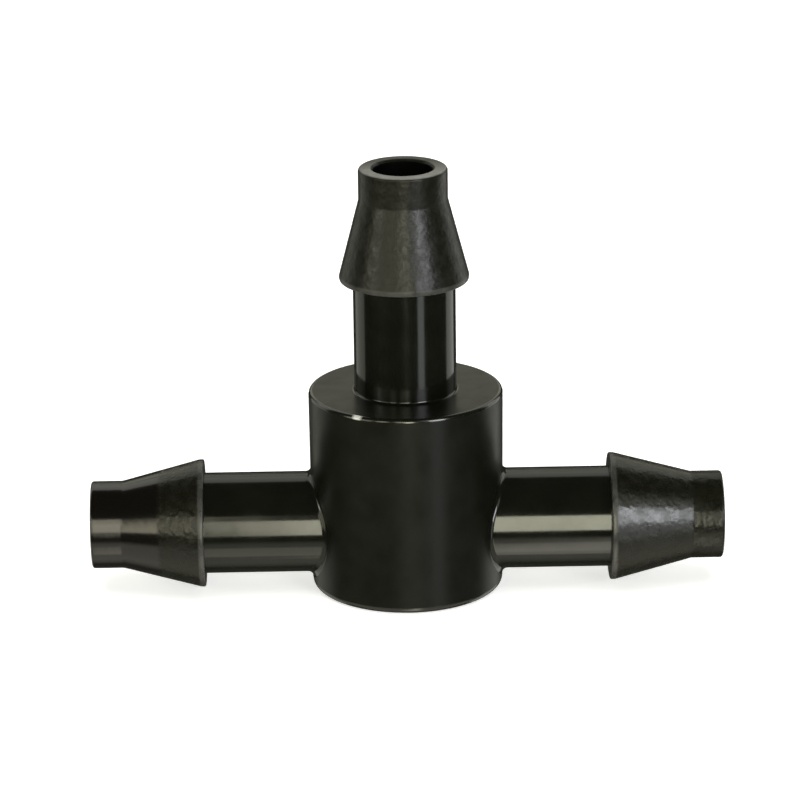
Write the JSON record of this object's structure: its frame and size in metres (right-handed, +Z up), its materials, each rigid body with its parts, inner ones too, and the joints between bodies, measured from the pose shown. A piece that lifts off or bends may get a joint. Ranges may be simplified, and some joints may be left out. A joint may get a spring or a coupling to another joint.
{
  "type": "barbed tee connector",
  "caption": "Black plastic barbed tee that joins soft irrigation tubes: a round hub with in-line run arms and an upright branch arm, each a hollow stem with a cone barb.",
  "frame": {"origin": "centre of the hub's flat base, on the axis of the hub and the branch arm", "axes": "+Z up the branch arm, +X along the run towards the right arm, +Y away from a viewer who looks at the front"},
  "size_m": [0.0282, 0.0086, 0.0192],
  "materials": {
    "hub_satin_black": "satin moulded black plastic with a very fine grain, polished along its rounded edges",
    "stem_gloss_black": "smooth glossy moulded black plastic",
    "barb_matte_black": "mottled moulded black plastic, polished on the left tip, with a slightly worn crest and a scuffed land round the mouth"
  },
  "bodies": {
    "root": {"hub": "hub_satin_black", "left_stem": "stem_gloss_black", "left_barb": "barb_matte_black", "right_stem": "stem_gloss_black", "right_barb": "barb_matte_black", "branch_stem": "stem_gloss_black", "branch_barb": "barb_matte_black"}
  },
  "joints": []
}
